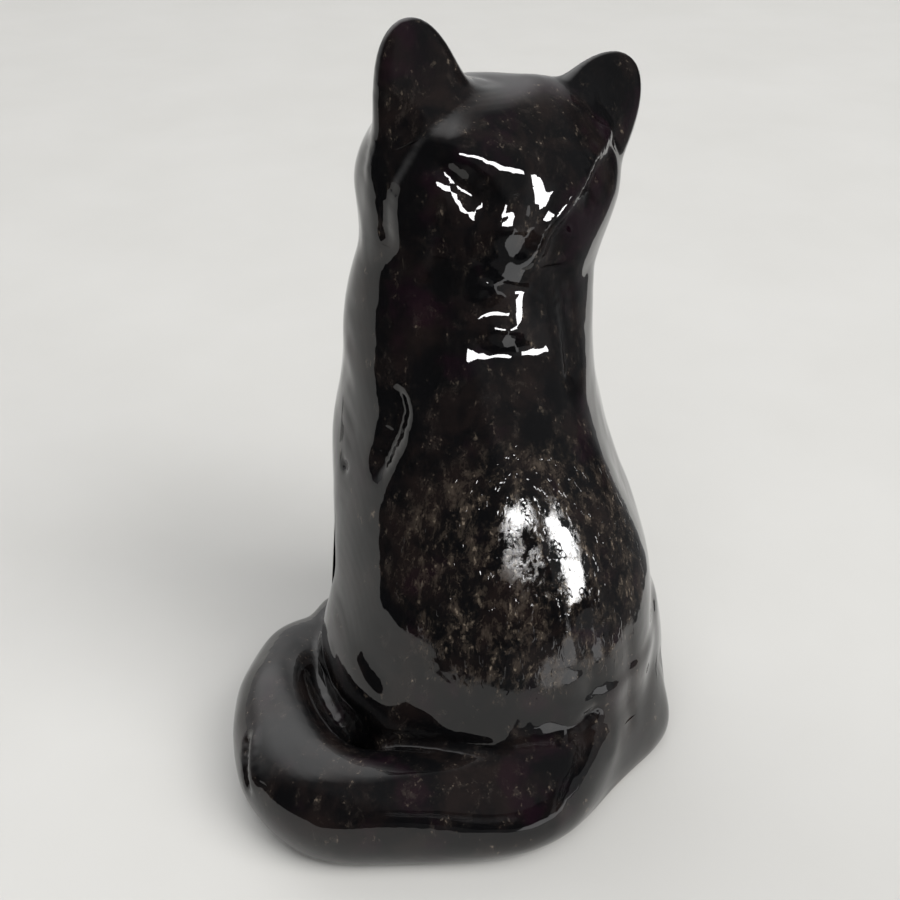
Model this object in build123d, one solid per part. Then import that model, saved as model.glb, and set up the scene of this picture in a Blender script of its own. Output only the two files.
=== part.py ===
"""Seated ceramic cat, hand built from hollow and solid clay pieces that are luted together and fired.

Every piece is one closed solid in its own file. Pieces meet face to face along their luted seams.
-Y is the way the cat faces, +X is its left and +Z is up. Lengths are millimetres and angles degrees.
The dimensions below are measured from the cat's own upright axis, and stand_on_origin moves the
finished pieces so that their box stands centred on the origin.
"""

import os
from math import atan2, cos, radians, sin

from build123d import *

# ---- driving dimensions -------------------------------------------------------------------------
WALL = 5.5  # fired clay wall of the hollow torso and head
FLOOR_SLAB = 6.0  # thickness of the slab that closes the torso
FLOOR_VENT_RADIUS = 4.0  # lets air out of the torso through the floor slab as it is fired
NECK_VENT_RADIUS = 3.5  # lets air out of the head into the torso

# Torso: height, centre along X, centre along Y, half width, depth to the front, depth to the back.
TORSO = [
    (0.0, 0.0, 2.0, 31.0, 27.0, 28.0),
    (12.0, 0.0, 1.0, 33.5, 29.0, 31.0),
    (30.0, 0.0, -1.0, 34.0, 29.5, 33.5),
    (48.0, 0.0, -4.5, 31.2, 28.5, 34.5),
    (66.0, 0.5, -9.5, 27.3, 26.5, 32.0),
    (84.0, 1.0, -14.0, 24.6, 23.0, 26.5),
    (102.0, 0.5, -14.5, 23.4, 19.0, 19.5),
    (118.0, -1.0, -14.0, 18.5, 15.0, 17.0),
    (128.0, -2.0, -13.0, 10.0, 9.0, 10.0),
]
NECK_TOP = 118.0  # height at which the torso's hollow ends, inside the head

# Head: a flattened ball that leans towards the cat's right shoulder.
HEAD_CENTRE = (-2.4, -15.5, 118.5)
HEAD_RADII = (25.0, 20.5, 19.6)
HEAD_LEAN = 12.5  # about Y
HEAD_TURN = 3.0  # about Z, to the cat's left

# Ears, in the head's own axes, each with a hollow pressed into its front.
EAR_CENTRE = (17.0, 1.0, 11.8)
EAR_RADII = (9.6, 6.0, 17.4)
EAR_SPREAD = 22.0  # outwards
EAR_CUP_CENTRE = (17.0, -3.6, 13.1)
EAR_CUP_RADII = (5.4, 3.4, 12.0)

# Face, in the head's own axes.
MUZZLE_CENTRE = (0.0, -16.5, -6.0)
MUZZLE_RADII = (11.0, 9.0, 7.6)
NOSE_CENTRE = (0.0, -25.0, -2.6)
NOSE_RADII = (3.0, 2.0, 2.2)
EYE_CENTRE = (9.8, -17.4, 4.4)
EYE_RADII = (4.6, 2.6, 3.6)
EYE_TILT = (-13.0, -12.0, 20.0)  # about X, Y and Z on the cat's left

# Haunches and hind paws.
HAUNCH_CENTRE = (20.0, -3.0, 12.0)
HAUNCH_RADII = (17.2, 25.5, 36.0)
HIND_PAW_CENTRE = (25.5, -27.0, 4.4)
HIND_PAW_RADII = (8.4, 15.0, 7.6)

# Upper arms, forelegs and front paws.
UPPER_ARM_CENTRE = (16.6, -18.0, 60.0)
UPPER_ARM_RADII = (12.4, 15.0, 30.0)
UPPER_ARM_TILT = 8.0  # about X
# Foreleg: height, centre along X, centre along Y, half width, half depth.
FORELEG = [
    (0.0, 9.6, -31.5, 7.2, 7.2),
    (14.0, 9.8, -31.0, 7.0, 7.2),
    (34.0, 10.8, -29.0, 7.8, 8.6),
    (52.0, 12.0, -24.5, 8.6, 9.6),
    (66.0, 12.5, -19.5, 7.0, 7.0),
]
FRONT_PAW_CENTRE = (9.6, -36.5, 4.2)
FRONT_PAW_RADII = (7.9, 10.0, 7.0)

# Tail: centre along X, centre along Y, radius, as it winds round the cat's left side to the front.
TAIL = [
    (-20.0, 15.0, 6.5),
    (-8.0, 26.5, 10.5),
    (8.0, 30.6, 11.8),
    (28.0, 30.4, 12.2),
    (44.5, 23.5, 12.2),
    (48.5, 6.5, 11.2),
    (46.0, -10.0, 9.8),
    (38.0, -22.5, 8.0),
    (28.5, -31.0, 5.8),
]
TAIL_LIFT = 0.76  # height of the tail's middle over its radius: less than 1, so that it lies flat
TAIL_TIP_TURNS = (35, 62, 82)  # angles round the tip's quarter ellipse that get a section
TAIL_TIP_LENGTH = 1.2  # length of the rounded tip over the tail's last radius

# Neighbours that cut each piece. Where both have a left and a right one, only the same side cuts.
CUT_BY = {
    "torso": [],
    "floor_slab": [],
    "eye": [],
    "head": ["torso", "eye"],
    "ear": ["head"],
    "muzzle": ["head", "torso"],
    "nose": ["muzzle", "head"],
    "upper_arm": ["torso"],
    "foreleg": ["torso", "upper_arm"],
    "front_paw": ["foreleg", "torso"],
    "haunch": ["torso", "foreleg", "upper_arm"],
    "hind_paw": ["haunch", "torso", "foreleg", "front_paw"],
    "tail": ["haunch", "hind_paw", "front_paw", "torso"],
}
SIDES = {"left": 1, "right": -1}


# ---- shared shapes ------------------------------------------------------------------------------
def mirrored(point, side):
    """The point on the cat's left for side 1, and on its right for side -1."""
    return (point[0] * side, point[1], point[2])


def ellipsoid(centre, radii, tilt=(0, 0, 0)):
    """A ball stretched to its three radii, tilted about X, Y and Z, at its centre."""
    return Pos(*centre) * Rot(*tilt) * scale(Sphere(1), by=radii)


def egg_face(half_width, front, back):
    """A level egg-shaped face: one half ellipse towards the back and one towards the front."""
    back_half = EllipticalCenterArc((0, 0), half_width, back, 0, arc_size=180)
    front_half = EllipticalCenterArc((0, 0), half_width, front, 180, arc_size=180)
    return make_face([back_half, front_half])


def on_floor(shape):
    """What of the shape stands above the surface that the cat sits on."""
    return split(shape, bisect_by=Plane.XY, keep=Keep.TOP)


def largest(shape):
    return max(shape.solids(), key=lambda solid: solid.volume)


def in_head(shape):
    """A shape from the head's own axes, put in its place on the cat."""
    return Pos(*HEAD_CENTRE) * Rot(0, 0, HEAD_TURN) * Rot(0, -HEAD_LEAN, 0) * shape


# ---- full forms of the pieces -------------------------------------------------------------------
def torso_form(inset=0.0, top=TORSO[-1][0]):
    """The torso's outer form, or the same form drawn in by a wall's thickness up to a lower top."""
    sections = [
        Pos(x, y, z) * egg_face(half_width - inset, front - inset, back - inset)
        for z, x, y, half_width, front, back in TORSO
        if z <= top
    ]
    return loft(sections)


def floor_slab_form():
    """The slab that closes the torso, with its firing vent."""
    width = 4 * TORSO[0][3]
    plate = Pos(0, 0, FLOOR_SLAB / 2) * Box(width, width, FLOOR_SLAB)
    vent = Pos(TORSO[0][1], TORSO[0][2], 0) * Cylinder(FLOOR_VENT_RADIUS, 3 * FLOOR_SLAB)
    return (torso_form(WALL, NECK_TOP) & plate) - vent


def torso_shell():
    """The torso with its hollow, and the neck's vent up into the head."""
    neck = TORSO[-1]
    vent = Pos(neck[1], neck[2], neck[0]) * Cylinder(NECK_VENT_RADIUS, 4 * (neck[0] - NECK_TOP))
    return torso_form() - torso_form(WALL, NECK_TOP) - vent


def head_form(inset=0.0):
    return in_head(ellipsoid((0, 0, 0), tuple(radius - inset for radius in HEAD_RADII)))


def ear_form(side):
    """A rounded flap that leans out from the head, with the hollow in its front."""
    tilt = (0, EAR_SPREAD * side, 0)
    flap = ellipsoid(mirrored(EAR_CENTRE, side), EAR_RADII, tilt)
    cup = ellipsoid(mirrored(EAR_CUP_CENTRE, side), EAR_CUP_RADII, tilt)
    return in_head(flap - cup)


def muzzle_form():
    return in_head(ellipsoid(MUZZLE_CENTRE, MUZZLE_RADII))


def nose_form():
    return in_head(ellipsoid(NOSE_CENTRE, NOSE_RADII))


def eye_form(side):
    tilt = (EYE_TILT[0], EYE_TILT[1] * side, EYE_TILT[2] * side)
    return in_head(ellipsoid(mirrored(EYE_CENTRE, side), EYE_RADII, tilt))


def haunch_form(side):
    return on_floor(ellipsoid(mirrored(HAUNCH_CENTRE, side), HAUNCH_RADII))


def hind_paw_form(side):
    return on_floor(ellipsoid(mirrored(HIND_PAW_CENTRE, side), HIND_PAW_RADII))


def upper_arm_form(side):
    return ellipsoid(mirrored(UPPER_ARM_CENTRE, side), UPPER_ARM_RADII, (UPPER_ARM_TILT, 0, 0))


def foreleg_form(side):
    """A leg that widens from the paw up into the shoulder."""
    sections = [
        Pos(x * side, y, z) * Ellipse(half_width, half_depth)
        for z, x, y, half_width, half_depth in FORELEG
    ]
    return loft(sections)


def front_paw_form(side):
    return on_floor(ellipsoid(mirrored(FRONT_PAW_CENTRE, side), FRONT_PAW_RADII))


def tail_stations():
    """The tail's driving stations, then the sections that round off its tip."""
    x, y, radius = TAIL[-1]
    heading = atan2(y - TAIL[-2][1], x - TAIL[-2][0])
    stations = list(TAIL)
    for turn in map(radians, TAIL_TIP_TURNS):
        reach = TAIL_TIP_LENGTH * radius * sin(turn)
        stations.append((x + reach * cos(heading), y + reach * sin(heading), radius * cos(turn)))
    return stations


def tail_form():
    """A clay roll laid round the base, flat where it lies, with a rounded tip."""
    stations = tail_stations()
    sections = []
    for i, (x, y, radius) in enumerate(stations):
        before = stations[max(i - 1, 0)]
        after = stations[min(i + 1, len(stations) - 1)]
        along = (after[0] - before[0], after[1] - before[1], 0)
        middle = TAIL_LIFT * max(radius, TAIL[-1][2])
        across = Plane(origin=(x, y, middle), x_dir=(-along[1], along[0], 0), z_dir=along)
        sections.append(across * Circle(radius))
    return on_floor(loft(sections))


# ---- assembly -----------------------------------------------------------------------------------
def full_forms():
    """Every piece's full form by name, before its neighbours are cut from it."""
    forms = {"torso": torso_form(), "head": head_form(), "tail": tail_form()}
    forms["muzzle"] = muzzle_form()
    forms["nose"] = nose_form()
    forms["floor_slab"] = floor_slab_form()
    for name, side in SIDES.items():
        forms[f"ear_{name}"] = ear_form(side)
        forms[f"eye_{name}"] = eye_form(side)
        forms[f"haunch_{name}"] = haunch_form(side)
        forms[f"hind_paw_{name}"] = hind_paw_form(side)
        forms[f"upper_arm_{name}"] = upper_arm_form(side)
        forms[f"foreleg_{name}"] = foreleg_form(side)
        forms[f"front_paw_{name}"] = front_paw_form(side)
    return forms


def stem_and_side(name):
    """The piece's name without its side, and its side or None."""
    stem, _, last = name.rpartition("_")
    return (stem, last) if last in SIDES else (name, None)


def cutters(name, forms):
    """The full forms of the neighbours that cut the named piece."""
    stem, side = stem_and_side(name)
    for other, form in forms.items():
        other_stem, other_side = stem_and_side(other)
        same_side = side is None or other_side is None or side == other_side
        if other_stem in CUT_BY[stem] and same_side:
            yield form


def cut_pieces():
    """Every piece as one solid that meets its neighbours face to face."""
    forms = full_forms()
    hollowed = {"torso": torso_shell(), "head": forms["head"] - head_form(WALL)}
    pieces = {}
    for name, form in forms.items():
        shape = hollowed.get(name, form)
        for cutter in cutters(name, forms):
            shape = shape - cutter
        pieces[name] = largest(shape)
    return pieces


def stand_on_origin(pieces):
    """The pieces moved together, so that their box stands centred on the origin."""
    box = Compound(list(pieces.values())).bounding_box()
    shift = Pos(-box.center().X, -box.center().Y, -box.min.Z)
    return {name: shift * piece for name, piece in pieces.items()}


os.makedirs("parts", exist_ok=True)
for piece_name, piece in stand_on_origin(cut_pieces()).items():
    export_step(piece, f"parts/{piece_name}.step")
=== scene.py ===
import heapq
import math

import bpy
import numpy as np
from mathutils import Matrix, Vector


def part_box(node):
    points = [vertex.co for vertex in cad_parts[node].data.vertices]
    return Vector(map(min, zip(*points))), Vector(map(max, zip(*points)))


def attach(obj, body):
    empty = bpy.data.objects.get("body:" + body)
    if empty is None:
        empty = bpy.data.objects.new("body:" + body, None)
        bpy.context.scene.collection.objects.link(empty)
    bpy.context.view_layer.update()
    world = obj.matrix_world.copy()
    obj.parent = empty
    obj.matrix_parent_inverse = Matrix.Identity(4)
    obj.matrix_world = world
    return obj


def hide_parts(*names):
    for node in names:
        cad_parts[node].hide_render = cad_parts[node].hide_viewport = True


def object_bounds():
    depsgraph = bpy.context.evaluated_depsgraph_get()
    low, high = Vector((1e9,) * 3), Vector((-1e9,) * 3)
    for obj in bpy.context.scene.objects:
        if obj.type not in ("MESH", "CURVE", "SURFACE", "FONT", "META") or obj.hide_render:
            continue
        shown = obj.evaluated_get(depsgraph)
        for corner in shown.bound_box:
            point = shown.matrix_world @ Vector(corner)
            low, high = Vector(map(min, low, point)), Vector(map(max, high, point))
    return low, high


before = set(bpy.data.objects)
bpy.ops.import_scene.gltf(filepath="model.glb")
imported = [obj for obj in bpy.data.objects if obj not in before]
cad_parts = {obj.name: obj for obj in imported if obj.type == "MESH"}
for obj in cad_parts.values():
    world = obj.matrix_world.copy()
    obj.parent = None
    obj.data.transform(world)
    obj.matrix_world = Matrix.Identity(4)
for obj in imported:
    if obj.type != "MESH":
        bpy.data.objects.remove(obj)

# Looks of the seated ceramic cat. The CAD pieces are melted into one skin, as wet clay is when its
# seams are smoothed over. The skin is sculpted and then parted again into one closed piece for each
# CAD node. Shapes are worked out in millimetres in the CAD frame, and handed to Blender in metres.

import openvdb
from mathutils import Euler, Vector, kdtree, noise

MM = 0.001
CAD_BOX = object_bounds()

VOXEL = 0.65  # grid step of the distance fields
BAND = 9.0  # how far from a surface its distance field is exact
MARGIN = 6.0  # room left round the CAD box

GRID_LOW = np.array(CAD_BOX[0]) / MM - MARGIN
GRID_SHAPE = np.ceil((np.array(CAD_BOX[1]) / MM + MARGIN - GRID_LOW) / VOXEL).astype(int)


def grid_axes():
    """The grid's coordinates along X, Y and Z, shaped so that they broadcast against a field."""
    x, y, z = (GRID_LOW[i] + VOXEL * np.arange(GRID_SHAPE[i], dtype=np.float32) for i in range(3))
    return x[:, None, None], y[None, :, None], z[None, None, :]


TORSO_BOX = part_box("torso")
AXIS_FROM_FRONT = 33.0  # from the front of the torso's box to the axis that places are given from
TORSO_MIDDLE_X = (TORSO_BOX[0].x + TORSO_BOX[1].x) / 2
MIDDLE = np.array((TORSO_MIDDLE_X / MM, TORSO_BOX[0].y / MM + AXIS_FROM_FRONT, 0))
HEAD_LEAN = 12.5  # about Y, to the cat's right
HEAD_TURN = 3.0  # about Z, to its left


# ---- distance fields ----------------------------------------------------------------------------
def sample(values, low, points):
    """The field's value at each point, read between the grid's nearest eight, and which are on it."""
    place = (points - GRID_LOW) / VOXEL - low
    on_grid = np.all((place >= 0) & (place < np.array(values.shape) - 1), axis=1)
    place = place[on_grid]
    cell = place.astype(int)
    part = place - cell
    total = np.zeros(len(place))
    for corner in np.ndindex(2, 2, 2):
        weight = np.prod(np.where(corner, part, 1 - part), axis=1)
        total += weight * values[tuple((cell + corner).T)]
    return total, on_grid


def mesh_arrays(node):
    """The CAD node's points in millimetres, and its triangles."""
    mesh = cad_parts[node].data
    mesh.calc_loop_triangles()
    points = np.empty(len(mesh.vertices) * 3, np.float32)
    mesh.vertices.foreach_get("co", points)
    triangles = np.empty(len(mesh.loop_triangles) * 3, np.int32)
    mesh.loop_triangles.foreach_get("vertices", triangles)
    return points.reshape(-1, 3) / MM, triangles.reshape(-1, 3)


class Field:
    """A CAD node's signed distance, negative inside, on the part of the grid that is near it."""

    def __init__(self, node):
        points, triangles = mesh_arrays(node)
        level_set = openvdb.FloatGrid.createLevelSetFromPolygons(
            (points - GRID_LOW).astype(np.float32),
            triangles=triangles.astype(np.uint32),
            transform=openvdb.createLinearTransform(voxelSize=VOXEL),
            halfWidth=BAND / VOXEL,
        )
        low, high = (np.array(corner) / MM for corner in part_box(node))
        self.low = np.maximum(np.floor((low - BAND - GRID_LOW) / VOXEL), 0).astype(int)
        top = np.minimum(np.ceil((high + BAND - GRID_LOW) / VOXEL), GRID_SHAPE).astype(int)
        self.values = np.full(top - self.low, BAND, np.float32)
        level_set.copyToArray(self.values, ijk=tuple(int(i) for i in self.low))
        self.where = tuple(slice(a, b) for a, b in zip(self.low, top))

    def at(self, points):
        """The distance at each point."""
        total, on_grid = sample(self.values, self.low, points)
        distance = np.full(len(points), 2 * BAND)
        distance[on_grid] = total
        return distance


def smooth_union(a, b, radius):
    """Both solids as one, with a fillet of about that radius where they meet."""
    share = np.clip(0.5 + 0.5 * (a - b) / radius, 0, 1)
    return a + (b - a) * share - radius * share * (1 - share)


def melt(body, field, radius):
    """Adds the field to the body, in place. The radius is a number or one value for each grid point."""
    near = body[field.where]
    if np.ndim(radius):
        radius = np.broadcast_to(radius, body.shape)[field.where]
    body[field.where] = smooth_union(near, field.values, radius)


def enclosed(solid, from_above=True):
    """Where a level look in all four directions, and one straight up, each meet the solid."""
    walls = [np.logical_or.accumulate(solid, axis=0), np.logical_or.accumulate(solid, axis=1)]
    walls.append(np.logical_or.accumulate(solid[::-1], axis=0)[::-1])
    walls.append(np.logical_or.accumulate(solid[:, ::-1], axis=1)[:, ::-1])
    if from_above:
        walls.append(np.logical_or.accumulate(solid[:, :, ::-1], axis=2)[:, :, ::-1])
    return np.logical_and.reduce(walls)


def soften(values, rounds):
    """Evens a field out, a quarter of a step each way, that many times."""
    for _ in range(rounds):
        for axis in range(3):
            middle = np.moveaxis(values, axis, 0)
            middle[1:-1] = 0.5 * middle[1:-1] + 0.25 * (middle[:-2] + middle[2:])
    return values


# ---- the melted body ----------------------------------------------------------------------------
SIDES = ("left", "right")
SLAB_GAP = 0.3  # slip line round the floor slab
FOOT_ROUNDING = 2.4  # edge round the flat foot
SOCKET_INSET = 1.1  # how far the bottom of an eye socket lies under the eye's surface
SOCKET_BLEND = 1.5
NOSE_PAD_BACK = 1.3  # how far behind the CAD nose the pad of clay under it lies
NOSE_PAD_BLEND = 3.0
SEAM_BLEND = 0.5  # inside the body, where no seam shows
SOFTENING = 6  # rounds that soften the whole body
TAIL_BLEND = 2.2  # where the tail only lies against the body
TAIL_ROOT_BLEND = 16.0  # where it grows out of the right haunch
TAIL_ROOT_FROM_MIDDLE = 12.0  # along X, where the one turns into the other
TAIL_ROOT_CHANGE = 5.5  # how gradually it does so
BLENDS = {  # fillet between a piece and what is under it
    "head": 5.0,
    "ear": 6.0,
    "muzzle": 4.0,
    "upper_arm": 5.0,
    "haunch": 5.0,
    "foreleg": 4.0,
    "front_paw": 3.0,
    "hind_paw": 3.0,
}


def stem(node):
    return node.removesuffix("_left").removesuffix("_right")


def melted_body(fields):
    """The distance field of the whole cat as one softened solid, with a recess for the floor slab."""
    x, y, z = grid_axes()
    body = np.full(GRID_SHAPE, BAND, np.float32)
    melt(body, fields["torso"], SEAM_BLEND)
    melt(body, fields["floor_slab"], SEAM_BLEND)
    melt(body, fields["head"], BLENDS["head"])
    body[enclosed(body < 0)] -= BAND
    np.clip(body, -BAND, BAND, out=body)
    for name in ("upper_arm", "haunch", "foreleg", "front_paw", "hind_paw", "ear"):
        for side in SIDES:
            melt(body, fields[f"{name}_{side}"], BLENDS[name])
    melt(body, fields["muzzle"], BLENDS["muzzle"])
    from_root = (x - MIDDLE[0] - TAIL_ROOT_FROM_MIDDLE) / TAIL_ROOT_CHANGE
    melt(body, fields["tail"], TAIL_BLEND + (TAIL_ROOT_BLEND - TAIL_BLEND) / (1 + np.exp(from_root)))
    for side in SIDES:
        eye = fields[f"eye_{side}"]
        body[eye.where] = smooth_union(body[eye.where], eye.values + SOCKET_INSET, SOCKET_BLEND)
    soften(body, SOFTENING)
    nose = fields["nose"]
    pad = np.roll(nose.values, round(NOSE_PAD_BACK / VOXEL), axis=1)
    body[nose.where] = smooth_union(body[nose.where], pad, NOSE_PAD_BLEND)

    slab = fields["floor_slab"]
    recess = slab.values.copy()
    recess[enclosed(recess < 0, from_above=False)] = -BAND
    body = -smooth_union(-body, z + np.zeros_like(body), FOOT_ROUNDING)
    body[slab.where] = np.maximum(body[slab.where], SLAB_GAP - recess)
    return body


def quads_of(values):
    """The field's zero surface as points in millimetres and quads."""
    grid = openvdb.FloatGrid()
    grid.background = BAND
    grid.copyFromArray(np.ascontiguousarray(values, np.float32))
    grid.transform = openvdb.createLinearTransform(voxelSize=VOXEL)
    points, quads = grid.convertToQuads(isovalue=0)
    return points.astype(float) + GRID_LOW, quads.astype(int)


def onto_surface(values, points, rounds=3):
    """Moves the points straight onto the field's zero surface, which the grid's quads only come near."""
    steps = np.eye(3) * VOXEL / 2
    origin = np.zeros(3, int)
    for _ in range(rounds):
        value = sample(values, origin, points)[0]
        ahead = np.stack([sample(values, origin, points + step)[0] for step in steps], axis=1)
        behind = np.stack([sample(values, origin, points - step)[0] for step in steps], axis=1)
        slope = (ahead - behind) / VOXEL
        points = points - slope * (value / np.maximum(np.sum(slope**2, axis=1), 0.1))[:, None]
    return points


# ---- surface tools ------------------------------------------------------------------------------
def edges_of(quads):
    """Each edge of the closed surface once, as pairs of point indices."""
    sides = np.concatenate([quads[:, [i, (i + 1) % 4]] for i in range(4)])
    return sides[sides[:, 0] < sides[:, 1]]


def around(values, edges):
    """The mean of each point's neighbours."""
    total = np.zeros_like(values)
    for first, second in ((0, 1), (1, 0)):
        for i in range(values.shape[1]):
            weights = values[edges[:, second], i]
            total[:, i] += np.bincount(edges[:, first], weights, len(values))
    count = np.bincount(edges.ravel(), minlength=len(values))
    return total / np.maximum(count, 1)[:, None]


FAIR_STEPS = (0.5, -0.53)  # in, and back out by a little more


def fair(points, edges, rounds):
    """Smooths the surface without shrinking it (Taubin's method)."""
    for _ in range(rounds):
        for step in FAIR_STEPS:
            points = points + step * (around(points, edges) - points)
    return points


def normals_of(points, quads):
    """Outward unit normals at the points."""
    corner = points[quads]
    face = np.cross(corner[:, 2] - corner[:, 0], corner[:, 3] - corner[:, 1])
    total = np.zeros_like(points)
    for i in range(4):
        for k in range(3):
            total[:, k] += np.bincount(quads[:, i], face[:, k], len(points))
    return total / np.maximum(np.linalg.norm(total, axis=1), 1e-9)[:, None]


# ---- sculpting ----------------------------------------------------------------------------------
# Soft pushes of the whole surface: place, movement and reach, in millimetres from the torso's middle.
PUSHES = [
    ((37, 43, 5), (-0.9, -2.5, 0), 14),  # tail at the back, drawn in on the cat's left
    ((52, 35, 7), (-0.3, -1.0, 0), 11),
    ((9, 45, 8), (1.1, 2.8, 0), 12),  # and out behind it
    ((-17, 39, 8), (1.2, -2.2, 0), 11),  # tail root
    ((-27, 32, 9), (1.5, -0.8, 0), 10),
    ((47, -4, 20), (1.2, -0.5, 1.4), 13),  # tail at the left flank
    ((38, -24, 12), (2.4, -0.9, 1.0), 11),
    ((59, 17, 9), (1.1, -0.4, 0), 12),
    ((-22, 8, 74), (2.9, -1.0, 0), 15),  # waist on the right
    ((-19.5, 3, 95), (1.1, -0.4, 0), 13),
    ((-20, 3, 113), (1.3, -0.5, 0), 11),
    ((-25, 12, 58), (1.0, -0.4, 0), 11),
    ((31, -9, 52), (0.9, -0.3, 0), 14),  # left flank
    ((22, -8, 140), (-1.3, 0.5, 0), 13),  # left ear and cheek
    ((23, -12, 120), (-0.7, 0.2, 0), 10),
    ((-29, -8, 136), (1.4, -0.4, -0.3), 10),  # right ear
    ((-3, -11, 140), (0, 0, -1.6), 9),  # crown
    ((-14, -11, 137), (0, 0, 1.0), 7),
    ((13, -1, 147), (0, -2.3, -1.2), 8),  # ears, leaning forward
    ((13, 1, 136), (0, 1.0, 0), 7),
    ((-27, -5, 140), (0, -3.2, -1.3), 7),
    ((-23, -2, 131), (0, 1.0, 0), 6),
    ((12, 2, 132.5), (0.5, 2.6, -0.3), 7.5),  # nape, above the left arm of its fold
    ((3.5, 23.5, 73), (0, 1.1, 0.1), 9),  # back
    ((26, 20, 21), (0.9, 1.2, 0), 10),  # left haunch, flaring out over the tail
    ((33, 10, 20), (1.2, 0.5, 0), 9),
    ((14, 28, 22), (0.3, 1.2, 0), 9),
    ((-30, 19, 33), (1.5, -0.5, 0), 15),  # right haunch and the tail root under it
    ((-31, 26, 10), (1.0, -0.3, 0), 9),
    ((13, -6, 150), (0, 0, 0.7), 7),  # ear tips
    ((-27, -8, 141), (0, 0, -0.8), 7),
]

# Grooves, and ridges with a depth below zero: depth, width, then the path that each follows over the
# skin, in millimetres from the torso's middle.
STROKES = [
    # nape: a fold in the shape of a V, with a ridge above its left arm and a hollow under each arm
    (-1.1, 3.4, [(12, 0, 134), (7, 4, 132.5), (2, 7, 130.5), (-4.5, 8.3, 128)]),
    (1.5, 2.4, [(14, 1, 131), (10, 6, 127), (7, 8, 124.5), (3.5, 9.7, 121.5)]),
    (1.0, 4.2, [(13, 5, 125), (10, 8, 122), (7, 9.4, 119)]),
    (-1.2, 2.0, [(-24, -5, 129.6), (-18, 2, 127), (-11, 8, 123.5), (-6, 10.4, 118.5), (-2.2, 10.5, 112.5)]),
    (2.2, 4.4, [(-21, -1, 125), (-18, 3.5, 122.5), (-15, 6.5, 120)]),
    (0.7, 3.0, [(-9.5, 9.4, 119), (-7, 10.3, 115), (-6, 10, 108), (-5.5, 10.4, 103)]),
    (-0.7, 2.2, [(5.5, 9.5, 124), (3.2, 9.9, 120.5), (1.5, 10, 117)]),
    # neck: a broad ridge between two long grooves
    (1.1, 3.2, [(13.4, 6.3, 118.7), (14, 5.6, 111), (14.9, 6, 103.6), (16, 6.9, 96), (17, 8, 89.6)]),
    (1.3, 3.0, [(-8, 9.8, 115), (-9.5, 9.2, 110.8), (-11.4, 7.7, 102), (-11.8, 8.9, 94), (-11.8, 11.5, 86)]),
    (-0.8, 4.5, [(3.4, 9.5, 108), (1.9, 9.9, 103), (1.4, 11, 96)]),
    (-0.75, 2.0, [(8.5, 8.6, 109), (4, 9.5, 107)]),
    (-0.7, 1.9, [(6.5, 9.8, 100.5), (1, 10.6, 99)]),
    (0.55, 2.6, [(7, 11, 95.5), (1, 11.6, 95), (-5, 11.6, 94)]),
    # left shoulder: a curved crease above the haunch, with a small nick in front of it
    (1.5, 2.2, [(21.6, 4.4, 87.6), (21.2, 6.2, 84), (22.6, 6.3, 80), (24.6, 5.7, 75.4), (26, 5, 71)]),
    (-0.7, 2.6, [(18.8, 8.4, 86), (19, 9.6, 82), (20.4, 9.6, 77)]),
    (0.9, 1.1, [(29.6, -6.9, 66.4), (29.5, -5.2, 65.8)]),
    # ear and cheek lines
    (-0.6, 2.0, [(20, -7, 143), (20.8, -7, 136), (21.2, -7.4, 130), (22, -7, 124)]),
    (0.8, 2.4, [(17, -2, 136), (19, -2.5, 129), (20, -3, 122), (20, -3.5, 114)]),
    (0.6, 2.2, [(-24.5, -5.5, 134), (-26, -6, 130), (-26, -7, 125)]),
    # tail: the pocket beside the haunch, the seam behind, a slot on its side and a nick above it
    (1.6, 3.2, [(37, -8, 15), (37.7, -1.6, 14.6), (37.4, 5.5, 15), (35.9, 11.9, 16), (34, 17, 17)]),
    (0.8, 1.8, [(30.5, 22.6, 18.6), (24, 27.4, 20.4), (17.5, 31, 21.4), (11, 33, 21.6)]),
    (0.9, 1.0, [(56.9, 11, 16), (58, 15.6, 14.4), (58.8, 21, 11.4)]),
    (-0.45, 1.4, [(55.3, 12, 17.4), (56.6, 17, 15.8), (57, 22, 13.2)]),
    (0.5, 1.1, [(-2.6, 33.9, 24), (-5, 33.7, 25.4), (-7.6, 33.3, 26.4)]),
    # rear right: upright ripples where the tail grows out of the haunch
    (-0.3, 2.6, [(-1, 31, 52), (-1.4, 33, 40), (-1.4, 34.5, 28)]),
    (0.35, 2.2, [(-5, 31, 48), (-6, 33, 36), (-6.4, 35, 24)]),
    (-0.3, 2.4, [(-9.5, 30.5, 44), (-10.5, 32, 32), (-11.4, 34.5, 20), (-11, 38, 12)]),
    (0.3, 2.2, [(-15, 29, 40), (-16, 31, 26), (-17, 34, 14)]),
    (-0.25, 2.4, [(1, 41, 19), (3, 44.5, 14), (3.6, 46, 8)]),
]
LUMPS = ((17.0, 0.5), (7.5, 0.1))  # size and height of the clay's unevenness
LUMP_OFFSET = (7.3, 1.9, 4.1)  # where in the noise the first size is taken from
STROKE_STEP = 0.7  # distance between the points that a path is worked out at
STROKE_REACH = 2.5  # how many widths off a stroke still counts
STROKE_END = 0.35  # share of its depth that a stroke still has at its ends
SLAB_EDGE, SLAB_FADE = 1, 3  # no sculpting up to the one from the floor slab, fading in over the other
FOOT_FADE = 4  # height over which the sculpting fades in
LIDS = ((-1.1, 1.3, 4.3), (-0.7, 1.2, -3.9))  # upper and lower: depth, width and height at the middle
LID_HALF_WIDTH = 5.6
LID_OUT = 2.0  # in front of the CAD eye's middle
LID_POINTS = 9
LIP_GROOVE = (0.8, 0.9)  # depth and width, from the nose down
LIP_TOP, LIP_BOTTOM = 1.6, 4.6  # under the nose's middle
MOUTH_GROOVE = (0.9, 0.95)
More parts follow.
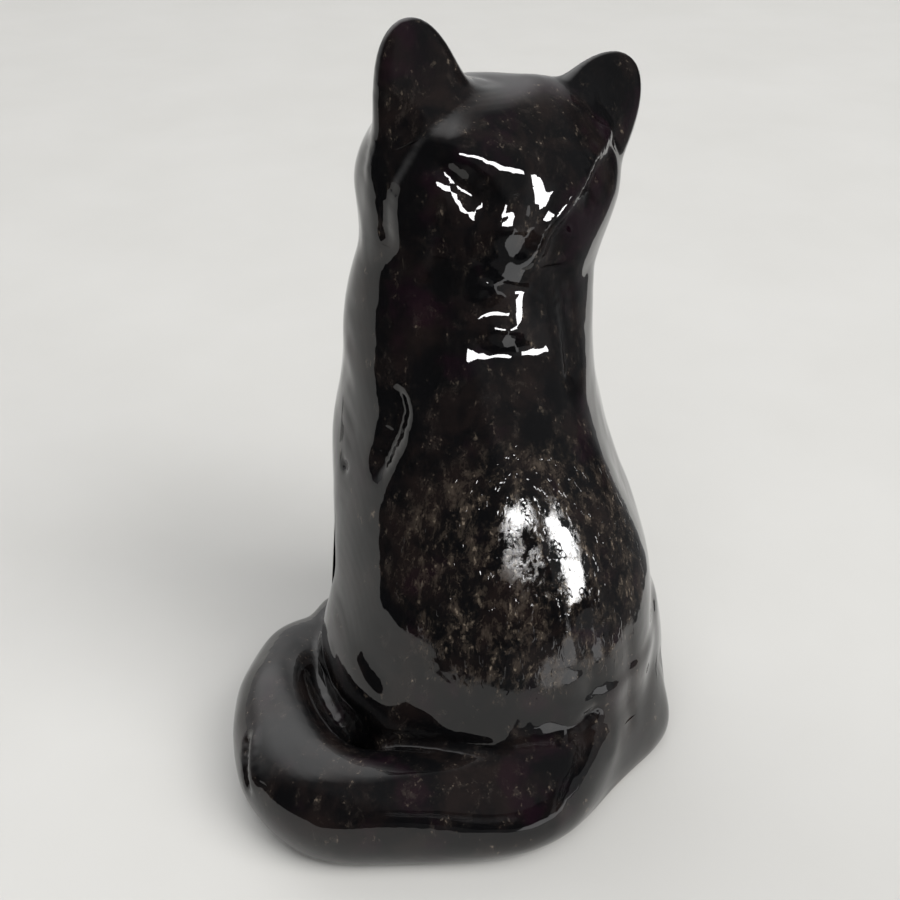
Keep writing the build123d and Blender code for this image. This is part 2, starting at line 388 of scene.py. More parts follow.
MOUTH = [(0, -4.4), (1.6, -5.6), (3.6, -6), (5.6, -5.2), (7, -3.6)]  # half of it: across and up from the nose
MOUTH_CURVE = 0.25  # how fast it runs back round the muzzle
TOE_GROOVE = (0.75, 0.85)
TOES_ACROSS = (-2.6, 0.0, 2.6)  # where the lines between the toes of a front paw start
# Such a line: share of the distance across, way back from the paw's front, and height.
TOE_LINE = [(1, 0, 1.5), (1, 0, 5), (0.9, 2.5, 9), (0.8, 6.5, 11)]


def nearest_finder(points):
    """Finds the skin's point that is nearest to a place."""
    tree = kdtree.KDTree(len(points))
    for index, point in enumerate(points.tolist()):
        tree.insert(point, index)
    tree.balance()
    return lambda place: tree.find(place)[1]


def dense(path):
    """Points close together along the path, from its first to its last."""
    line = [np.array(path[0], float)]
    for a, b in zip(path, path[1:]):
        a, b = np.array(a, float), np.array(b, float)
        count = max(1, round(np.linalg.norm(b - a) / STROKE_STEP))
        line += [a + (b - a) * (i + 1) / count for i in range(count)]
    return line


def stroke_depths(points, nearest, strokes):
    """How far in each point goes for the strokes, which fade out towards their ends."""
    total = np.zeros(len(points))
    for depth, width, path in strokes:
        line = dense(path)
        line = points[[nearest(place) for place in line]]
        share = np.linspace(0, 1, len(line))
        strength = np.clip(np.minimum(share, 1 - share) * len(line) * STROKE_STEP / width, 0, 1)
        reach = STROKE_REACH * width
        near = np.all((points > line.min(axis=0) - reach) & (points < line.max(axis=0) + reach), axis=1)
        near = np.flatnonzero(near)
        gap = np.linalg.norm(points[near, None] - line[None], axis=2)
        fall = np.exp(-((gap / width) ** 2)) * (STROKE_END + (1 - STROKE_END) * strength)
        total[near] += depth * fall.max(axis=1)
    return total


def head_direction(x, y, z):
    """A direction in the head's own axes, turned into the CAD frame's."""
    direction = Vector((x, y, z))
    direction.rotate(Euler((0, -math.radians(HEAD_LEAN), 0)))
    direction.rotate(Euler((0, 0, math.radians(HEAD_TURN))))
    return np.array(direction)


# The head's axes: across towards its left ear, up, and out of its face.
HEAD_AXES = (head_direction(1, 0, 0), head_direction(0, 0, 1), head_direction(0, -1, 0))


def middle_of(node):
    """The middle of a CAD node's box."""
    low, high = (np.array(corner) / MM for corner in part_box(node))
    return (low + high) / 2


def axes_of(node):
    """The middle of a CAD ball, and its directions across, up and forwards."""
    points, _ = mesh_arrays(node)
    middle = points.mean(axis=0)
    rows = list(np.linalg.svd(points - middle, full_matrices=False)[2])
    found = []
    for wanted in ((1, 0, 0), (0, 0, 1), (0, -1, 0)):
        row = max(rows, key=lambda r: abs(np.dot(r, wanted)))
        rows = [r for r in rows if r is not row]
        found.append(row * np.sign(np.dot(row, wanted)))
    return middle, found


def face_strokes():
    """Eyelids, mouth and the lines between the toes."""
    strokes = []
    for side in SIDES:
        middle, (across, up, out) = axes_of(f"eye_{side}")
        for depth, width, lift in LIDS:
            shares = np.linspace(-1, 1, LID_POINTS)
            path = []
            for t in shares:
                path.append(middle + across * LID_HALF_WIDTH * t + up * (lift * (1 - t * t)) + out * LID_OUT)
            strokes.append((depth, width, path))
    nose, (across, up, out) = middle_of("nose"), HEAD_AXES
    strokes.append((*LIP_GROOVE, [nose - up * LIP_TOP + out, nose - up * LIP_BOTTOM + out]))
    for side in (-1, 1):
        path = [nose + across * side * u + up * v - out * MOUTH_CURVE * u for u, v in MOUTH]
        strokes.append((*MOUTH_GROOVE, path))
    for side in SIDES:
        paw = f"front_paw_{side}"
        middle, tip = middle_of(paw)[0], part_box(paw)[0].y / MM
        for offset in TOES_ACROSS:
            path = [(middle + offset * share, tip + back, height) for share, back, height in TOE_LINE]
            strokes.append((*TOE_GROOVE, path))
    return strokes


def lumps(points):
    """The unevenness that hands leave in clay, as a height at each point."""
    height = np.zeros(len(points))
    for order, (size, tall) in enumerate(LUMPS):
        offset = Vector(LUMP_OFFSET) * (order + 1)
        height += tall * np.array([noise.noise(Vector(p) / size + offset) for p in points.tolist()])
    return height


def sculpted(points, quads, slab_field):
    """The skin after the pushes, strokes and lumps, with its foot still flat on the floor."""
    outside = np.clip((slab_field.at(points) - SLAB_EDGE) / SLAB_FADE, 0, 1)
    outside *= np.clip(points[:, 2] / FOOT_FADE, 0, 1)
    moved = points.copy()
    for place, move, reach in PUSHES:
        gap = np.sum((points - MIDDLE - place) ** 2, axis=1) / reach**2
        moved += np.exp(-gap)[:, None] * np.array(move, float)
    strokes = [(depth, width, [MIDDLE + place for place in path]) for depth, width, path in STROKES]
    depth = stroke_depths(points, nearest_finder(points), strokes + face_strokes())
    height = (lumps(points) - depth) * outside
    moved += normals_of(moved, quads) * height[:, None]
    moved[:, 2] = np.maximum(moved[:, 2], 0)
    return moved


# ---- parting the skin into pieces ---------------------------------------------------------------
SKIN_NODES = [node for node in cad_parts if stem(node) not in ("eye", "nose", "floor_slab")]


def owners_of(points, quads, fields):
    """For each quad, the index in SKIN_NODES of the CAD piece that it is nearest to."""
    distance = np.stack([fields[node].at(points) for node in SKIN_NODES])
    return distance[:, quads].mean(axis=2).argmin(axis=0)


def even_seams(points, quads, owners, rounds=6):
    """Takes the steps out of the seams, which otherwise follow the grid."""
    sides = np.concatenate([quads[:, [i, (i + 1) % 4]] for i in range(4)])
    owner = np.tile(owners, 4)
    key = np.sort(sides, axis=1)
    order = np.lexsort(key.T)
    pairs, pair_owner = key[order].reshape(-1, 2, 2), owner[order].reshape(-1, 2)
    seam = pairs[pair_owner[:, 0] != pair_owner[:, 1], 0]
    count = np.bincount(seam.ravel(), minlength=len(points))
    plain = (count == 2)[:, None]
    for _ in range(rounds):
        points = np.where(plain, 0.5 * points + 0.5 * around(points, seam), points)
    return points


def border_loops(faces):
    """The open borders of a patch of faces, each a closed list of points, wound to cap the patch."""
    directed = {(int(f[i]), int(f[(i + 1) % 4])) for f in faces for i in range(4)}
    following = {}
    for a, b in sorted(directed):
        if (b, a) not in directed:
            following.setdefault(b, []).append(a)
    loops = []
    while following:
        start = min(following)
        path, at = [start], start
        while True:
            leaving = following[at]
            if len(leaving) == 1:
                del following[at]
            at = leaving.pop()
            if at not in path:
                path.append(at)
                continue
            first = path.index(at)  # where the border meets itself, it is closed off as its own loop
            loops.append(path[first:])
            del path[first + 1 :]
            if first == 0:
                break
    return loops


def cap(loop, points):
    """Triangles that close a border, cutting off its shortest corner each time."""
    before = {v: loop[i - 1] for i, v in enumerate(loop)}
    after = {v: loop[(i + 1) % len(loop)] for i, v in enumerate(loop)}

    def corner(v):
        a, b = before[v], after[v]
        return (float(np.sum((points[a] - points[b]) ** 2)), v, a, b)

    queue = [corner(v) for v in loop]
    heapq.heapify(queue)
    triangles = []
    left = len(loop)
    while left > 3:
        _, v, a, b = heapq.heappop(queue)
        if v not in before or before[v] != a or after[v] != b:
            continue
        triangles.append((a, v, b))
        after[a], before[b] = b, a
        del before[v], after[v]
        left -= 1
        heapq.heappush(queue, corner(a))
        heapq.heappush(queue, corner(b))
    v = next(iter(before))
    triangles.append((before[v], v, after[v]))
    return triangles


def make_piece(node, faces, points, normals):
    """One closed piece of the skin: the sculpted outside, and plain caps where it was luted on."""
    used = np.unique(faces)
    local = np.full(len(points), -1)
    local[used] = np.arange(len(used))
    caps = [t for loop in border_loops(faces) for t in cap(loop, points)]
    polygons = [tuple(map(int, local[list(f)])) for f in faces.tolist() + caps]

    mesh = bpy.data.meshes.new(f"glazed_{node}")
    mesh.from_pydata((points[used] * MM).tolist(), [], polygons)
    outer = len(faces)
    mesh.polygons.foreach_set("use_smooth", [i < outer for i in range(len(polygons))])
    mesh.update()
    loop_normals = []
    for i, polygon in enumerate(mesh.polygons):
        for vertex in polygon.vertices:
            loop_normals.append(tuple(normals[used[vertex]]) if i < outer else tuple(polygon.normal))
    mesh.normals_split_custom_set(loop_normals)

    piece = bpy.data.objects.new(mesh.name, mesh)
    bpy.context.scene.collection.objects.link(piece)
    mesh.materials.append(MATERIALS["black_glaze"])
    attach(piece, "root")
    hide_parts(node)
    return piece


# ---- eyes and nose ------------------------------------------------------------------------------
EYE_HALF_WIDTH = 4.6
EYE_HALF_HEIGHT = 3.3
EYE_SIT = 0.5  # how far the eye's rim lies in front of the CAD eye's middle
EYE_BULGE = 2.0
NOSE_HALF_WIDTH = 2.9
NOSE_HALF_HEIGHT = 2.0
NOSE_SIT = -0.2  # the same for the nose
NOSE_BULGE = 1.8
NOSTRILS = [(-1.2, -0.5), (1.2, -0.5)]  # across and up from the nose's middle
DENT_SIZE = (0.55, 0.45)  # across and up
DENT_DEPTH = 0.7
BUTTON_BACK = 1.4  # how deep an eye or the nose is set in
DOME = (2.4, 0.6)  # powers of its profile, which is flat in the middle and steep at the rim
RINGS = 12
SPOKES = 48


def almond(angle):
    """Outline of an eye: pointed at both corners and fuller above."""
    across = math.cos(angle)
    up = math.copysign((1 - abs(across) ** 2.1), math.sin(angle))
    return EYE_HALF_WIDTH * across, EYE_HALF_HEIGHT * up * (1 if up > 0 else 0.85)


def rounded_triangle(angle):
    """Outline of the nose: broad above and narrow below."""
    across, up = math.cos(angle), math.sin(angle)
    return NOSE_HALF_WIDTH * across * (0.72 + 0.3 * up), NOSE_HALF_HEIGHT * up


def dent(across, up, dents):
    """How far the dents at those places lower a point of the front."""
    wide, tall = DENT_SIZE
    gaps = [((across - x) / wide) ** 2 + ((up - y) / tall) ** 2 for x, y in dents]
    return DENT_DEPTH * sum(math.exp(-gap) for gap in gaps)


def button(node, outline, bulge, dents, middle, axes):
    """A closed domed piece on the face: its rim follows the outline, and its front bulges out."""
    across, up, out = axes
    points = [middle + out * (bulge - dent(0, 0, dents)), middle - out * BUTTON_BACK]
    for depth in (bulge, -BUTTON_BACK):
        for ring in range(1, RINGS + (depth > 0)):
            share = ring / RINGS
            for spoke in range(SPOKES):
                u, v = (share * c for c in outline(2 * math.pi * spoke / SPOKES))
                height = depth * (1 - share ** DOME[0]) ** DOME[1]
                height -= dent(u, v, dents) if depth > 0 else 0
                points.append(middle + across * u + up * v + out * height)
    front, back = 2, 2 + RINGS * SPOKES
    rows = [[front + ring * SPOKES + i for i in range(SPOKES)] for ring in range(RINGS)]
    rows += [[back + ring * SPOKES + i for i in range(SPOKES)] for ring in reversed(range(RINGS - 1))]
    faces = []
    for i in range(SPOKES):
        j = (i + 1) % SPOKES
        faces.append((0, rows[0][i], rows[0][j]))
        faces += [(a[i], b[i], b[j], a[j]) for a, b in zip(rows, rows[1:])]
        faces.append((rows[-1][i], 1, rows[-1][j]))
    mesh = bpy.data.meshes.new(f"glazed_{node}")
    mesh.from_pydata([tuple(p * MM) for p in points], [], faces)
    mesh.polygons.foreach_set("use_smooth", [True] * len(faces))
    piece = bpy.data.objects.new(mesh.name, mesh)
    bpy.context.scene.collection.objects.link(piece)
    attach(piece, "root")
    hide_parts(node)
    return piece


def make_eyes_and_nose():
    for side in SIDES:
        node = f"eye_{side}"
        middle, axes = axes_of(node)
        middle = middle + axes[2] * EYE_SIT
        eye = button(node, almond, EYE_BULGE, [], middle, axes)
        eye.data.materials.append(eye_glaze(middle, axes))
    middle = middle_of("nose") + HEAD_AXES[2] * NOSE_SIT
    nose = button("nose", rounded_triangle, NOSE_BULGE, NOSTRILS, middle, HEAD_AXES)
    nose.data.materials.append(MATERIALS["nose_glaze"])


# ---- materials ----------------------------------------------------------------------------------
class Shader:
    """A new material's node tree, with short calls for the nodes used here."""

    def __init__(self, name):
        self.material = bpy.data.materials.new(name)
        self.material.use_nodes = True
        self.nodes = self.material.node_tree.nodes
        self.links = self.material.node_tree.links
        self.principled = self.nodes["Principled BSDF"]
        self.place = self.nodes.new("ShaderNodeTexCoord").outputs["Object"]

    def put(self, socket, value):
        """Links the value if it is a socket, and sets it if it is a number or colour."""
        if isinstance(value, bpy.types.NodeSocket):
            self.links.new(value, socket)
        else:
            socket.default_value = value

    def noise(self, size, detail=3.0, roughness=0.55, distortion=0.0, place=None):
        """Noise with features of about that size in millimetres."""
        node = self.nodes.new("ShaderNodeTexNoise")
        self.put(node.inputs["Vector"], place or self.place)
        node.inputs["Scale"].default_value = 1 / (size * MM)
        node.inputs["Detail"].default_value = detail
        node.inputs["Roughness"].default_value = roughness
        node.inputs["Distortion"].default_value = distortion
        return node.outputs["Fac"]

    def step(self, value, low, high, out_low=0.0, out_high=1.0):
        """Runs smoothly from out_low to out_high as the value runs from low to high."""
        node = self.nodes.new("ShaderNodeMapRange")
        node.interpolation_type = "SMOOTHSTEP"
        limits = {"From Min": low, "From Max": high, "To Min": out_low, "To Max": out_high}
        for name, number in limits.items():
            node.inputs[name].default_value = number
        self.put(node.inputs["Value"], value)
        return node.outputs["Result"]

    def math(self, operation, *values):
        node = self.nodes.new("ShaderNodeMath")
        node.operation = operation
        for socket, value in zip(node.inputs, values):
            self.put(socket, value)
        return node.outputs[0]

    def mix(self, share, a, b):
        """Colour a where the share is 0 and colour b where it is 1."""
        node = self.nodes.new("ShaderNodeMix")
        node.data_type = "RGBA"
        self.put(node.inputs["Factor"], share)
        for socket, colour in ((node.inputs["A"], a), (node.inputs["B"], b)):
            self.put(socket, colour if isinstance(colour, bpy.types.NodeSocket) else (*colour, 1))
        return node.outputs["Result"]

    def bump(self, height, distance, strength=1.0, under=None):
        """Surface relief: distance is in millimetres for a height of 1."""
        node = self.nodes.new("ShaderNodeBump")
        self.put(node.inputs["Height"], height)
        node.inputs["Distance"].default_value = distance * MM
        node.inputs["Strength"].default_value = strength
        if under is not None:
            self.put(node.inputs["Normal"], under)
        return node.outputs["Normal"]

    def axis(self, name):
        node = self.nodes.new("ShaderNodeSeparateXYZ")
        self.put(node.inputs[0], self.place)
        return node.outputs[name]

    def stretched(self, scale):
        """The place with each axis scaled, so that noise there is drawn out along an axis under 1."""
        node = self.nodes.new("ShaderNodeVectorMath")
        node.operation = "MULTIPLY"
        self.put(node.inputs[0], self.place)
        node.inputs[1].default_value = scale
        return node.outputs["Vector"]

    def along(self, middle, axis):
        """How far along the axis a point lies from the middle, in millimetres."""
        node = self.nodes.new("ShaderNodeVectorMath")
        node.operation = "DOT_PRODUCT"
        self.put(node.inputs[0], self.place)
        node.inputs[1].default_value = Vector(axis)
        return self.math("MULTIPLY_ADD", node.outputs["Value"], 1 / MM, -float(np.dot(middle, axis)))

    def square(self, value, size):
        """The square of the value over the size."""
        share = self.math("DIVIDE", value, size)
        return self.math("MULTIPLY", share, share)

    def ball(self, centre, radius, soft):
        """1 inside a ball, falling to 0 over the soft distance outside it. All in millimetres."""
        node = self.nodes.new("ShaderNodeVectorMath")
        node.operation = "DISTANCE"
        self.put(node.inputs[0], self.place)
        node.inputs[1].default_value = Vector(centre) * MM
        return self.step(node.outputs["Value"], radius * MM, (radius + soft) * MM, 1.0, 0.0)


GLAZE_IOR = 1.47
GLAZE_BLACK = (0.0035, 0.0035, 0.004)
GLAZE_BROWN = (0.012, 0.0085, 0.008)
GLAZE_PURPLE = (0.013, 0.0045, 0.009)
GLAZE_THIN = (0.04, 0.033, 0.029)  # where the clay's grey shows through
CLOUD = (0.064, 0.05, 0.039)
FLECK = (0.32, 0.26, 0.2)
FOOT_CLAY = (0.5, 0.43, 0.35)
FOOT_LINE = (0.8, 1.2)  # heights between which bare clay gives way to glaze
FOOT_WAVER = 0.8  # how far that line wavers
REAR_MIDDLE = (2, 27, 56)  # of the clouded patch on the back, from the torso's axis
REAR_RADIUS, REAR_SOFT = 16, 20
DRAWN_DOWN = (1, 1, 0.55)  # clouds and flecks, drawn out by the glaze's flow
RUN_DOWN = (1, 1, 0.22)  # runs, drawn out further


def black_glaze():
    """Clear glossy glaze over a black body, which shows clouds and flecks of brown and grey through it.

    They are thickest low on the back, where the glaze has also run down in fine streaks.
    """
    shader = Shader("black_glaze")
    flow = shader.stretched(DRAWN_DOWN)
    clouds = shader.noise(2.6, detail=8, roughness=0.74, distortion=0.3, place=flow)
    patches = shader.noise(9, detail=5, roughness=0.6, distortion=0.4)
    tints = shader.noise(12, detail=3)
    specks = shader.noise(0.9, detail=3, roughness=0.6, place=flow)
    rear = shader.ball(MIDDLE + REAR_MIDDLE, REAR_RADIUS, REAR_SOFT)
    rear = shader.step(shader.math("ADD", rear, patches), 0.75, 1.35)

    colour = shader.mix(shader.step(patches, 0.42, 0.7), GLAZE_BLACK, GLAZE_BROWN)
    purple = shader.math("MULTIPLY", shader.step(tints, 0.54, 0.68), 0.5)
    colour = shader.mix(purple, colour, GLAZE_PURPLE)
    thin = shader.math("MULTIPLY", shader.step(clouds, 0.5, 0.72), shader.step(patches, 0.4, 0.58, 0.1, 0.6))
    colour = shader.mix(thin, colour, GLAZE_THIN)
    cloudy = shader.math("MULTIPLY", shader.step(clouds, 0.45, 0.75), rear)
    colour = shader.mix(cloudy, colour, CLOUD)
    fleck = shader.math("MULTIPLY", shader.step(specks, 0.58, 0.66), shader.math("MAXIMUM", cloudy, thin))
    colour = shader.mix(fleck, colour, FLECK)

    height = shader.math("MULTIPLY_ADD", patches, FOOT_WAVER * MM, shader.axis("Z"))
    bare = shader.step(height, FOOT_LINE[0] * MM, FOOT_LINE[1] * MM, 1.0, 0.0)
    colour = shader.mix(bare, colour, FOOT_CLAY)

    roughness = shader.step(shader.math("MAXIMUM", thin, cloudy), 0, 1, 0.03, 0.055)
    roughness = shader.math("MAXIMUM", roughness, shader.math("MULTIPLY", bare, 0.85))

    peel = shader.noise(5.0, detail=1)
    swells = shader.noise(2.6, detail=2, roughness=0.5, place=flow)
    runs = shader.noise(1.5, detail=2, roughness=0.5, place=shader.stretched(RUN_DOWN))
    runs = shader.step(runs, 0.58, 0.66)
    pits = shader.step(shader.noise(1.2, detail=2, roughness=0.5), 0.3, 0.4)
    normal = shader.bump(peel, 0.05)
    normal = shader.bump(shader.math("MULTIPLY", runs, rear), 0.05, under=normal)
    normal = shader.bump(shader.math("MULTIPLY", swells, rear), 0.025, under=normal)
    normal = shader.bump(shader.math("MULTIPLY", pits, cloudy), 0.01, under=normal)

    body = shader.principled
    shader.put(body.inputs["Base Color"], colour)
    shader.put(body.inputs["Roughness"], roughness)
    shader.put(body.inputs["Normal"], normal)
    body.inputs["IOR"].default_value = GLAZE_IOR
    return shader.material


EYE_AMBER = (0.4, 0.3, 0.04)
EYE_OLIVE = (0.13, 0.15, 0.035)
EYE_STREAK = (0.5, 0.36, 0.07)
EYE_RIM = (0.006, 0.005, 0.005)
PUPIL = (0.004, 0.004, 0.004)
SLIT_SIZE = (0.85, 3.1)  # half width and half height
RIM_SIZE = (4.5, 3.3)
EYE_IOR = 1.55


def eye_glaze(middle, axes):
    """Muted olive and amber, with a dark slit pupil, a dark rim and fine streaks out from the slit."""
    shader = Shader("eye_glaze")
    across, up = (shader.along(middle, axis) for axis in axes[:2])
    slit, rim = (
        shader.math("ADD", shader.square(across, width), shader.square(up, height))
        for width, height in (SLIT_SIZE, RIM_SIZE)
    )
    streaks = shader.noise(0.9, detail=4, distortion=1.0)
    colour = shader.mix(shader.step(rim, 0.05, 0.75), EYE_AMBER, EYE_OLIVE)
    colour = shader.mix(shader.step(streaks, 0.5, 0.7, 0.0, 0.6), colour, EYE_STREAK)
    colour = shader.mix(shader.step(rim, 0.72, 0.92), colour, EYE_RIM)
    colour = shader.mix(shader.step(slit, 0.8, 1.1, 1.0, 0.0), colour, PUPIL)
    shader.put(shader.principled.inputs["Base Color"], colour)
    shader.put(shader.principled.inputs["Normal"], shader.bump(shader.noise(2.5), 0.04))
    shader.principled.inputs["Roughness"].default_value = 0.05
    shader.principled.inputs["IOR"].default_value = EYE_IOR
    return shader.material


NOSE_BROWNS = ((0.028, 0.016, 0.016), (0.06, 0.034, 0.03))
CLAYS = ((0.42, 0.31, 0.23), (0.5, 0.39, 0.3))
CLAY_GRAIN = (0.25, 0.17, 0.12)


def nose_glaze():
    """Satin dark brown, lightly mottled."""
    shader = Shader("nose_glaze")
    mottle = shader.noise(1.2, detail=4)
    colour = shader.mix(shader.step(mottle, 0.42, 0.64), *NOSE_BROWNS)
    shader.put(shader.principled.inputs["Base Color"], colour)
    shader.put(shader.principled.inputs["Normal"], shader.bump(shader.noise(0.5), 0.04))
    shader.principled.inputs["Roughness"].default_value = 0.3
    return shader.material


def bisque():
    """Bare fired clay."""
    shader = Shader("bisque")
    grain = shader.noise(0.8, detail=4)
    blotch = shader.noise(9)
    colour = shader.mix(shader.step(blotch, 0.35, 0.7), *CLAYS)
    colour = shader.mix(shader.step(grain, 0.6, 0.72), colour, CLAY_GRAIN)
    shader.put(shader.principled.inputs["Base Color"], colour)
    shader.put(shader.principled.inputs["Normal"], shader.bump(grain, 0.15))
    shader.principled.inputs["Roughness"].default_value = 0.9
    return shader.material


MATERIALS = {"black_glaze": black_glaze(), "nose_glaze": nose_glaze(), "bisque": bisque()}

# ---- camera -------------------------------------------------------------------------------------
CAMERA_AZIMUTH = 160.0
CAMERA_PITCH = 33.0
CAMERA_PLACE = (80.0, 194.2, 203.0)  # in millimetres from the torso's axis
LENS_HALF_ANGLE = 20.0
SENSOR_WIDTH = 36
CLIP_START = 0.01


def direction(azimuth, elevation):
    """Unit vector towards an azimuth, which runs from -Y towards +X, and an elevation, in degrees."""
    a, e = math.radians(azimuth), math.radians(elevation)
    return Vector((math.sin(a) * math.cos(e), -math.cos(a) * math.cos(e), math.sin(e)))


def add_camera():
    data = bpy.data.cameras.new("camera")
    data.sensor_width = SENSOR_WIDTH
    data.clip_start = CLIP_START
    data.lens = data.sensor_width / 2 / math.tan(math.radians(LENS_HALF_ANGLE))
    camera = bpy.data.objects.new("camera", data)
    camera.location = Vector(MIDDLE + CAMERA_PLACE) * MM
    camera.rotation_mode = "QUATERNION"
    camera.rotation_quaternion = (-direction(CAMERA_AZIMUTH, CAMERA_PITCH)).to_track_quat("-Z", "Y")
    bpy.context.scene.collection.objects.link(camera)
    bpy.context.scene.camera = camera


# ---- stage and light ----------------------------------------------------------------------------
WORKTOP_REACH = 3.0
WORKTOP_END = 1.2 * WORKTOP_REACH
WORKTOP_STEP = 10  # degrees between the corners of the worktop
# How far off the glaze still sees the worktop, from each azimuth up to the next.
WORKTOP_EDGES = [(0, WORKTOP_REACH), (76, 0.137), (126, 0.1), (295, WORKTOP_REACH)]
DIM_ROOM = 0.13  # how bright the room is away from the walls and windows below
# Soft parts of the room: azimuth and elevation, inner and outer half angles, and brightness.
ROOM = [
    (5, 5, 35, 72, 0.55),  # pale wall in front of the cat
    (330, 0, 15, 40, 0.6),
    (12, 45, 4, 42, 1.6),  # soft light from above its face
    (287, 10, 14, 30, 0.03),  # dark room past its right flank
    (215, -12, 12, 30, 0.3),  # worktop in the far distance
    (115, 0, 42, 62, 0.025),  # dark room behind its left shoulder
]
# Windows: name, azimuth, elevation, angles across and up, brightness.
WINDOWS = [
    ("window_broad", 178, 11, 32, 9, 34),
    ("window_tall", 217, 2, 15, 9, 34),
]
WINDOW_DISTANCE = 2.0
SHEEN_AZIMUTH = 201.0  # the tall window's shine along the worktop, seen only in the glaze
SHEEN_FROM, SHEEN_TO, SHEEN_WIDTH = 0.1, 1.6, 0.06
SHEEN_LIFT = 0.0005
SHEEN_BRIGHTNESS = 1.8
# Low dark cards that keep the windows off the tail: name, azimuth, distance, width and height.
CARDS = [
    ("dark_card_broad", 174, 0.2, 0.2, 0.085),
    ("dark_card_tall", 218, 0.2, 0.1, 0.05),
]
LIT_PLACE = (0, 0, 0.08)  # where windows and lights point
# Soft lights, which the glaze doesn't see: name, place, size, power and colour.
SOFT_LIGHTS = [
    ("soft_key", (-2.25, 2.7, 3.3), 2.7, 164, (1, 0.99, 0.97)),
    ("soft_overhead", (0.7, 1.7, 3.6), 4.0, 104, (1, 1, 1)),
]
BACKDROP = (0.62, 0.62, 0.61)
WORKTOP_TONES = ((0.575, 0.57, 0.55), (0.63, 0.625, 0.61))


def stage_mesh(name, corners, faces, material):
    mesh = bpy.data.meshes.new(name)
    mesh.from_pydata([tuple(corner) for corner in corners], [], faces)
    mesh.materials.append(material)
    part = bpy.data.objects.new(name, mesh)
    bpy.context.scene.collection.objects.link(part)
    return part


def rectangle(name, foot, side, rise, material):
    """A card whose foot runs from foot - side to foot + side, and which reaches rise away from there."""
    corners = [foot + side, foot - side, foot - side + rise, foot + side + rise]
    return stage_mesh(name, corners, [(0, 1, 2, 3)], material)


def add_worktop():
    """The level worktop, in a part that the glaze sees and one beyond it that it doesn't."""
    inner, outer = [], []
    for azimuth in range(0, 360, WORKTOP_STEP):
        edge = [reach for start, reach in WORKTOP_EDGES if start <= azimuth][-1]
        inner.append(direction(azimuth, 0) * edge)
        outer.append(direction(azimuth, 0) * WORKTOP_END)
    count = len(inner)
    pairs = [(i, (i + 1) % count) for i in range(count)]
    material = worktop()
    stage_mesh("worktop", [Vector()] + inner, [(0, i + 1, j + 1) for i, j in pairs], material)
    ring = [(i, i + count, j + count, j) for i, j in pairs]
    stage_mesh("worktop_beyond", inner + outer, ring, material).visible_glossy = False


def seen_in_glaze_only(part):
    part.visible_camera = False
    part.visible_diffuse = False
    part.visible_shadow = False


def plain_glow(name, brightness):
    """A card's material: an even glow, or black."""
    shader = Shader(name)
    shader.principled.inputs["Base Color"].default_value = (0, 0, 0, 1)
    shader.principled.inputs["Roughness"].default_value = 1.0
    shader.principled.inputs["Specular IOR Level"].default_value = 0.0
    shader.principled.inputs["Emission Color"].default_value = (1, 1, 1, 1)
    shader.principled.inputs["Emission Strength"].default_value = brightness
    return shader.material


def add_cards():
    """A shine along the worktop, and two dark cards that stand low behind the cat."""
    shine = plain_glow("window_shine", SHEEN_BRIGHTNESS)
    out, side = direction(SHEEN_AZIMUTH, 0), direction(SHEEN_AZIMUTH - 90, 0) * SHEEN_WIDTH / 2
    foot = out * SHEEN_FROM + Vector((0, 0, SHEEN_LIFT))
    seen_in_glaze_only(rectangle("window_shine", foot, side, out * (SHEEN_TO - SHEEN_FROM), shine))
    black = plain_glow("dark_card", 0.0)
    for name, azimuth, distance, width, height in CARDS:
        out, side = direction(azimuth, 0), direction(azimuth - 90, 0) * width / 2
        card = rectangle(name, out * distance, side, Vector((0, 0, height)), black)
        seen_in_glaze_only(card)


def worktop():
    shader = Shader("pale_worktop")
    shade = shader.noise(60, detail=3)
    colour = shader.mix(shade, *WORKTOP_TONES)
    shader.put(shader.principled.inputs["Base Color"], colour)
    shader.principled.inputs["Roughness"].default_value = 1.0
    shader.principled.inputs["Specular IOR Level"].default_value = 0.0
    return shader.material


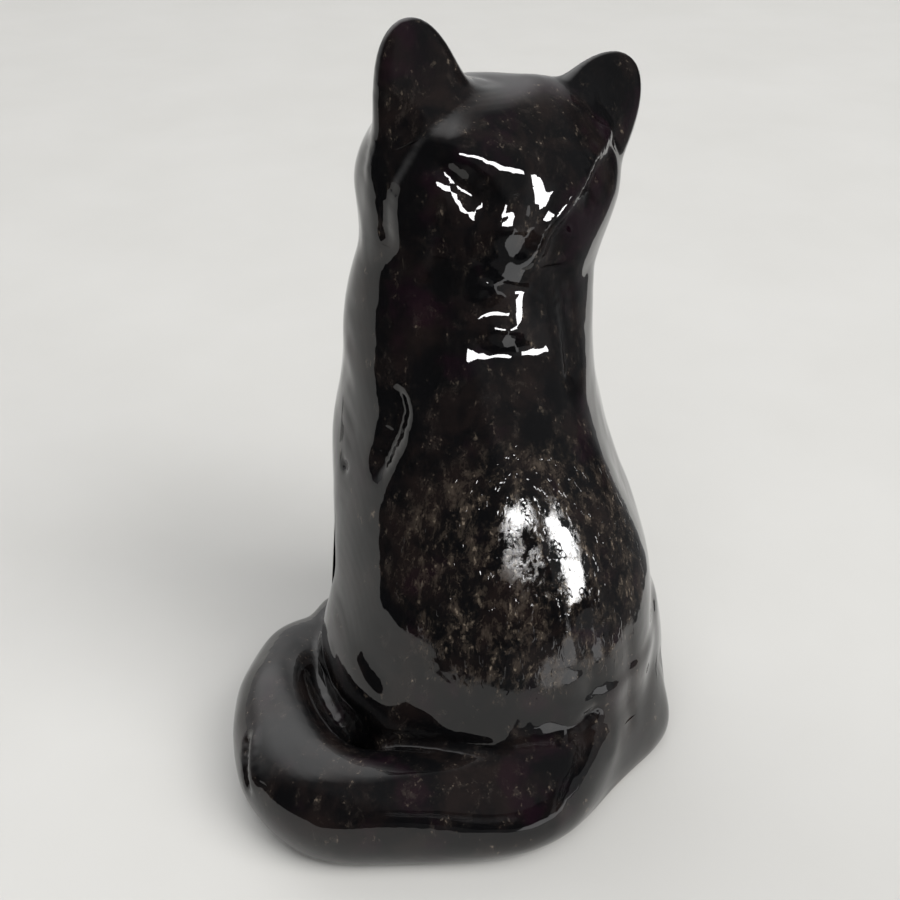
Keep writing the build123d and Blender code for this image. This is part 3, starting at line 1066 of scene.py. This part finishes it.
def add_room():
    """The dim room round the worktop. The camera itself sees a plain pale backdrop."""
    world = bpy.data.worlds.new("studio")
    bpy.context.scene.world = world
    world.use_nodes = True
    nodes, links = world.node_tree.nodes, world.node_tree.links
    towards = nodes.new("ShaderNodeTexCoord").outputs["Generated"]
    level = None
    for azimuth, elevation, inner, outer, brightness in ROOM:
        dot = nodes.new("ShaderNodeVectorMath")
        dot.operation = "DOT_PRODUCT"
        links.new(towards, dot.inputs[0])
        dot.inputs[1].default_value = direction(azimuth, elevation)
        lobe = nodes.new("ShaderNodeMapRange")
        lobe.interpolation_type = "SMOOTHSTEP"
        links.new(dot.outputs["Value"], lobe.inputs["Value"])
        lobe.inputs["From Min"].default_value = math.cos(math.radians(outer))
        lobe.inputs["From Max"].default_value = math.cos(math.radians(inner))
        mix = nodes.new("ShaderNodeMix")
        links.new(lobe.outputs["Result"], mix.inputs["Factor"])
        if level is None:
            mix.inputs["A"].default_value = DIM_ROOM
        else:
            links.new(level, mix.inputs["A"])
        mix.inputs["B"].default_value = brightness
        level = mix.outputs["Result"]
    seen = nodes.new("ShaderNodeMix")
    seen.data_type = "RGBA"
    links.new(nodes.new("ShaderNodeLightPath").outputs["Is Camera Ray"], seen.inputs["Factor"])
    links.new(level, seen.inputs["A"])
    seen.inputs["B"].default_value = (*BACKDROP, 1)
    links.new(seen.outputs["Result"], nodes["Background"].inputs["Color"])


def area_light(name, place, size, power, colour=(1, 1, 1)):
    data = bpy.data.lights.new(name, "AREA")
    data.shape = "RECTANGLE"
    data.size, data.size_y = size
    data.energy = power
    data.color = colour
    light = bpy.data.objects.new(name, data)
    light.location = place
    light.rotation_mode = "QUATERNION"
    light.rotation_quaternion = (Vector(place) - Vector(LIT_PLACE)).to_track_quat("Z", "Y")
    light.visible_camera = False
    bpy.context.scene.collection.objects.link(light)
    return light


def add_windows():
    """Windows far off, whose brightness and size are given as the cat sees them."""
    for name, azimuth, elevation, across, up, brightness in WINDOWS:
        size = [2 * WINDOW_DISTANCE * math.tan(math.radians(angle / 2)) for angle in (across, up)]
        power = brightness * math.pi * size[0] * size[1]
        place = Vector(LIT_PLACE) + direction(azimuth, elevation) * WINDOW_DISTANCE
        area_light(name, place, size, power).visible_diffuse = False


def add_stage():
    add_worktop()
    add_room()
    add_cards()
    add_windows()
    for name, place, size, power, colour in SOFT_LIGHTS:
        area_light(name, place, (size, size), power, colour).visible_glossy = False
    bpy.context.scene.view_settings.view_transform = "Standard"


# ---- the cat ------------------------------------------------------------------------------------
ROUNDS_BEFORE, ROUNDS_AFTER = 4, 3  # of smoothing, before and after the points are put on the surface


def make_skin():
    fields = {node: Field(node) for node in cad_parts}
    body = melted_body(fields)
    points, quads = quads_of(body)
    edges = edges_of(quads)
    points = onto_surface(body, fair(points, edges, ROUNDS_BEFORE))
    points = fair(points, edges, ROUNDS_AFTER)
    owners = owners_of(points, quads, fields)
    points = even_seams(points, quads, owners)
    points = sculpted(points, quads, fields["floor_slab"])
    normals = normals_of(points, quads)
    for index, node in enumerate(SKIN_NODES):
        make_piece(node, quads[owners == index], points, normals)


def bare_floor_slab():
    """The floor slab is left as it is in the CAD, in unglazed clay."""
    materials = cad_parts["floor_slab"].data.materials
    materials.clear()
    materials.append(MATERIALS["bisque"])


add_camera()
add_stage()
make_skin()
make_eyes_and_nose()
bare_floor_slab()
